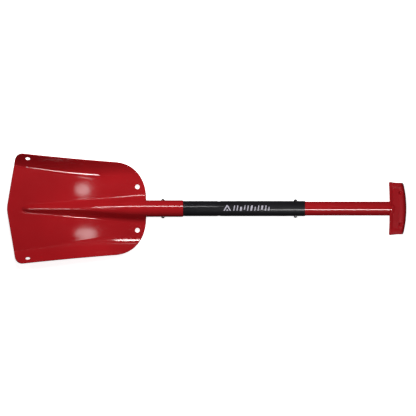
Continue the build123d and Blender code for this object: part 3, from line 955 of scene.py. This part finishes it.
class Nodes:
    """Short way to lay out one node material."""

    SOCKETS = {"colour": "Base Color", "rough": "Roughness", "metal": "Metallic",
               "coat": "Coat Weight", "coat_rough": "Coat Roughness",
               "specular": "Specular IOR Level", "glow": "Emission Color",
               "glow_strength": "Emission Strength", "normal": "Normal"}

    def __init__(self, name):
        self.material = bpy.data.materials.new(name)
        self.material.use_nodes = True
        self.tree = self.material.node_tree
        self.shader = self.tree.nodes["Principled BSDF"]
        self.position = self.add("ShaderNodeTexCoord").outputs["Object"]

    def add(self, kind, inputs=(), **values):
        return add_node(self.tree, kind, inputs, **values)

    def set(self, **values):
        for key, value in values.items():
            feed(self.tree, self.shader.inputs[self.SOCKETS[key]], value)

    def noise(self, scale, detail, stretch=(1, 1, 1), roughness=0.5):
        mapping = self.add("ShaderNodeMapping", {"Vector": self.position})
        mapping.inputs["Scale"].default_value = stretch
        place = mapping.outputs["Vector"]
        return self.add("ShaderNodeTexNoise", {"Scale": scale, "Detail": detail, "Vector": place,
                                               "Roughness": roughness}).outputs["Fac"]

    def ramp(self, value, *stops):
        """Colour ramp between two stops of (place, colour)."""
        ramp = self.add("ShaderNodeValToRGB", {"Fac": value})
        for element, (place, colour) in zip(ramp.color_ramp.elements, stops):
            element.position = place
            element.color = (*colour, 1)
        return ramp.outputs["Color"]

    def map(self, value, low, high, to_low, to_high):
        inputs = {"Value": value, "From Min": low, "From Max": high, "To Min": to_low,
                  "To Max": to_high}
        return self.add("ShaderNodeMapRange", inputs).outputs["Result"]

    def mix(self, factor, a, b):
        inputs = {MIX_FACTOR: factor, MIX_A: a, MIX_B: b}
        return self.add("ShaderNodeMix", inputs, data_type="RGBA").outputs[MIX_RESULT]

    def bump(self, height, strength, distance):
        inputs = {"Strength": strength, "Distance": distance, "Height": height}
        self.set(normal=self.add("ShaderNodeBump", inputs).outputs["Normal"])


def red_paint():
    """Glossy red finish over aluminium: slow tone drift, fine grain and faint rub marks."""
    n = Nodes("red_paint")
    drift = n.noise(9.0, 2.0)
    grain = n.noise(1400.0, 2.0)
    rubs = n.noise(60.0, 6.0, (1, 9, 9), 0.62)
    tone = n.ramp(drift, (0.3, (0.270, 0.0068, 0.0095)), (0.7, (0.330, 0.0086, 0.0120)))
    rubbed = n.ramp(rubs, (0.66, (0, 0, 0)), (0.78, WHITE))
    n.set(colour=n.mix(n.map(rubbed, 0, 1, 0.0, 0.10), tone, (0.42, 0.02, 0.026)), metal=0.0,
          rough=n.map(rubs, 0.3, 0.8, 0.55, 0.65), specular=0.0,
          coat=0.9, coat_rough=n.map(rubs, 0.3, 0.7, 0.08, 0.12))
    n.bump(grain, 0.10, 0.00005)
    return n.material


def black_anodised():
    """Satin black anodised tube with lengthways drawing marks."""
    n = Nodes("black_anodised")
    drawn = n.noise(260.0, 3.0, (0.04, 1, 1))
    drift = n.noise(14.0, 2.0)
    grain = n.noise(1800.0, 2.0)
    n.set(colour=n.ramp(drift, (0.3, (0.0075, 0.0072, 0.0085)), (0.7, (0.011, 0.0105, 0.0122))),
          rough=n.map(drawn, 0.3, 0.7, 0.38, 0.48), metal=0.0, specular=0.16,
          coat=0.25, coat_rough=0.14)
    n.bump(n.mix(0.5, drawn, grain), 0.12, 0.00004)
    return n.material


def red_plastic():
    """Satin moulded red plastic with a fine eroded texture."""
    n = Nodes("red_plastic")
    texture = n.noise(1500.0, 3.0, (1, 1, 1), 0.6)
    flow = n.noise(28.0, 3.0, (2.2, 0.7, 1))
    n.set(colour=n.ramp(flow, (0.3, (0.255, 0.0052, 0.0082)), (0.7, (0.298, 0.0064, 0.0104))),
          rough=n.map(texture, 0.3, 0.7, 0.44, 0.56), specular=0.05, coat=0.04, coat_rough=0.3)
    n.bump(texture, 0.25, 0.00008)
    return n.material


def steel(name, dark, light, rough_low, rough_high, stretch=(1, 1, 1)):
    """Plain metal with fine marks in its tone and polish."""
    n = Nodes(name)
    marks = n.noise(900.0, 4.0, stretch)
    cloud = n.noise(120.0, 3.0)
    n.set(colour=n.ramp(cloud, (0.3, dark), (0.7, light)), metal=1.0,
          rough=n.map(marks, 0.3, 0.7, rough_low, rough_high))
    n.bump(marks, 0.15, 0.00003)
    return n.material


def print_ink():
    """Matt grey-violet ink, slightly uneven."""
    n = Nodes("print_ink")
    speck = n.noise(1600.0, 3.0)
    n.set(colour=n.ramp(speck, (0.3, (0.30, 0.28, 0.34)), (0.6, (0.42, 0.40, 0.46))),
          rough=0.6, specular=0.3)
    return n.material


def floor_paper():
    """Pale matt paper with a hardly visible tone drift, clear when seen from underneath."""
    n = Nodes("floor_paper")
    tone = n.ramp(n.noise(3.0, 2.0), (0.3, (0.90, 0.90, 0.90)), (0.7, (0.93, 0.93, 0.93)))
    n.set(colour=tone, rough=0.9, specular=0.0, glow=tone, glow_strength=0.95)
    behind = n.add("ShaderNodeNewGeometry").outputs["Backfacing"]
    clear = n.add("ShaderNodeBsdfTransparent").outputs["BSDF"]
    sides = n.add("ShaderNodeMixShader", {"Fac": behind, 1: n.shader.outputs["BSDF"], 2: clear})
    feed(n.tree, n.tree.nodes["Material Output"].inputs["Surface"], sides.outputs["Shader"])
    return n.material


# ---- the object

red = red_paint()
black = black_anodised()
button_steel = steel("button_steel", (0.16, 0.155, 0.15), (0.24, 0.232, 0.226), 0.34, 0.5)
spring_steel = steel("spring_steel", (0.36, 0.34, 0.31), (0.46, 0.44, 0.41), 0.28, 0.42, (1, 8, 8))
bright_metal = steel("bright_metal", (0.62, 0.62, 0.63), (0.74, 0.74, 0.75), 0.2, 0.32)

make_blade(red)
make_tube("mid_shaft_tube", (MID_LOW[0], MID_HIGH[0]), (MID_RADIUS, MID_BORE),
          (LOWER_BUTTON_X, STOWED_HOLE_X, UPPER_BUTTON_X), black, "shaft", ("mid_shaft",))
make_tube("handle_tube_body", (HANDLE_LOW[0], HANDLE_HIGH[0]), (HANDLE_RADIUS, HANDLE_BORE),
          (UPPER_BUTTON_X,), red, "handle", ("handle_tube",))
make_grip(red_plastic())
make_rivet(bright_metal)
make_print(print_ink())
for level, x, face, body, high in (("lower", LOWER_BUTTON_X, LOWER_FACE, "shaft", LOWER_HIGH),
                                   ("upper", UPPER_BUTTON_X, UPPER_FACE, "handle", UPPER_HIGH)):
    for side, sign in (("left", 1), ("right", -1)):
        button = f"{level}_button_{side}"
        make_button(button, x, face, high[1], sign, button_steel)
        make_clip_arm(f"{level}_clip_arm_{side}", x, face, sign, spring_steel,
                      f"{level}_clip_spring")


# ---- floor, light and camera

# In metres. Lamp heights are above the shaft's centre line.
FLOOR_REACH = 6.0
FLOOR_DROP = 0.0002
CAMERA_PLACE = (0.00263, 0.0011, 3.0)
CAMERA_WIDTH = 0.8467
CAMERA_RANGE = 20.0
WORLD_FILL = 0.05
WORLD_MIRRORED = 0.02
WORLD_SEEN = 1.0
LOW_LAMP = 0.35
HIGH_LAMP = 0.42
KEY_TILT = 31.0
SIDE_TILT = -17.0
PAN_LEAN = 7.0
GLINT_RADIANCE = 24.0


def spread_share(half):
    """Share of a flat lamp's power left inside a narrow beam of this half angle."""
    if half > math.radians(89):
        return 1.0
    return math.sin(half) ** 2 - (half - math.sin(half) * math.cos(half)) / math.tan(half)


def lamp(name, x_start, x_end, tilt, width, radiance, height=LOW_LAMP, spread=180.0, facing=None,
         lean=0.0):
    """Flat lamp set off towards +Y by tilt. It faces the shaft, or its own facing angle if it has
    one, and lean turns it towards the tip."""
    data = bpy.data.lights.new(name, "AREA")
    data.shape = "RECTANGLE"
    data.size = x_end - x_start
    data.size_y = width
    data.spread = math.radians(spread)
    data.energy = radiance * math.pi * data.size * data.size_y * spread_share(data.spread / 2)
    placed = place_object(name, data)
    offset = height * math.tan(math.radians(tilt))
    placed.location = ((x_start + x_end) / 2, offset, AXIS_Z / MM + height)
    turn = math.radians(tilt if facing is None else facing)
    placed.rotation_euler = (-turn, math.radians(lean), 0)
    placed.visible_camera = False
    return placed


def strip(*settings, **options):
    """Lamp that only makes highlights."""
    placed = lamp(*settings, **options)
    placed.visible_diffuse = False
    return placed


def fill(*settings, **options):
    """Lamp that only lights matt surfaces."""
    placed = lamp(*settings, **options)
    placed.visible_glossy = False
    return placed


def glint(name, x, y, size_x, size_y):
    """Small oval lamp right over the pan, seen only as a soft glint in it."""
    placed = strip(name, x - size_x / 2, x + size_x / 2, 0.0, size_y, GLINT_RADIANCE, spread=20.0)
    placed.data.shape = "ELLIPSE"
    placed.location.y = y


def make_lamps():
    """Strips for the highlights along the tubes, the ridge and the bends, two glints on the pan,
    and wide fills."""
    strip("key_strip", -0.165, 0.025, KEY_TILT, 0.055, 32.0, spread=19.0)
    strip("ridge_strip", -0.231, -0.172, KEY_TILT, 0.055, 75.0, spread=9.0)
    strip("fillet_strip", -0.145, -0.080, KEY_TILT, 0.05, 40.0, spread=12.0, facing=28.0,
          lean=PAN_LEAN)
    strip("lower_bend_strip", -0.138, -0.088, 1.2, 0.035, 50.0, spread=14.0, facing=11.6,
          lean=PAN_LEAN)
    strip("side_strip_rear", 0.112, 0.380, -18.5, 0.06, 28.0)
    strip("upper_bend_strip", -0.340, -0.186, SIDE_TILT, 0.04, 80.0, HIGH_LAMP, spread=16.0,
          facing=-27.0, lean=PAN_LEAN)
    strip("crest_strip", -0.368, -0.262, SIDE_TILT, 0.04, 60.0, HIGH_LAMP, spread=16.0)
    strip("lower_fillet_strip", -0.250, -0.185, SIDE_TILT, 0.05, 110.0, HIGH_LAMP, spread=10.0,
          facing=-15.0, lean=6.5)
    glint("upper_glint", -0.211, 0.038, 0.028, 0.024)
    glint("lower_glint", -0.205, -0.051, 0.042, 0.020)
    fill("soft_key", -0.45, 0.30, 28.0, 0.6, 6.2, height=0.65)
    fill("handle_fill", 0.12, 0.72, -45.0, 0.25, 2.4, height=0.4)
    under = fill("under_fill", -0.6, 0.6, 0.0, 0.9, 2.2, height=-0.9)
    under.rotation_euler.x = math.pi


def make_floor():
    """Wide pale sheet of paper under the object, which neither shades it nor shows in it."""
    mesh = bpy.data.meshes.new("floor")
    r = FLOOR_REACH
    mesh.from_pydata([(-r, -r, 0), (r, -r, 0), (r, r, 0), (-r, r, 0)], [], [(0, 1, 2, 3)])
    mesh.materials.append(floor_paper())
    floor = place_object("floor", mesh)
    floor.location.z = -FLOOR_DROP
    floor.visible_glossy = False
    floor.visible_diffuse = False
    floor.visible_shadow = False


def make_world():
    """White to the camera, a dim fill for matt surfaces and dimmer still in reflections."""
    world = bpy.data.worlds.new("studio")
    bpy.context.scene.world = world
    world.use_nodes = True
    world.cycles.sampling_method = "NONE"
    tree = world.node_tree
    tree.nodes.clear()
    rays = add_node(tree, "ShaderNodeLightPath").outputs
    fill_light, mirrored, seen = (
        add_node(tree, "ShaderNodeBackground", {"Color": WHITE, "Strength": strength}).outputs[0]
        for strength in (WORLD_FILL, WORLD_MIRRORED, WORLD_SEEN))
    light = add_node(tree, "ShaderNodeMixShader",
                     {"Fac": rays["Is Glossy Ray"], 1: fill_light, 2: mirrored}).outputs[0]
    shown = add_node(tree, "ShaderNodeMixShader",
                     {"Fac": rays["Is Camera Ray"], 1: light, 2: seen}).outputs[0]
    add_node(tree, "ShaderNodeOutputWorld", {"Surface": shown})


def make_camera():
    """Straight down on the shovel, tip to the left."""
    data = bpy.data.cameras.new("camera")
    data.type = "ORTHO"
    data.ortho_scale = CAMERA_WIDTH
    data.clip_end = CAMERA_RANGE
    camera = place_object("camera", data)
    camera.location = CAMERA_PLACE
    bpy.context.scene.camera = camera


make_floor()
make_world()
make_lamps()
make_camera()
bpy.context.scene.view_settings.view_transform = "Standard"
bpy.context.scene.view_settings.look = "None"
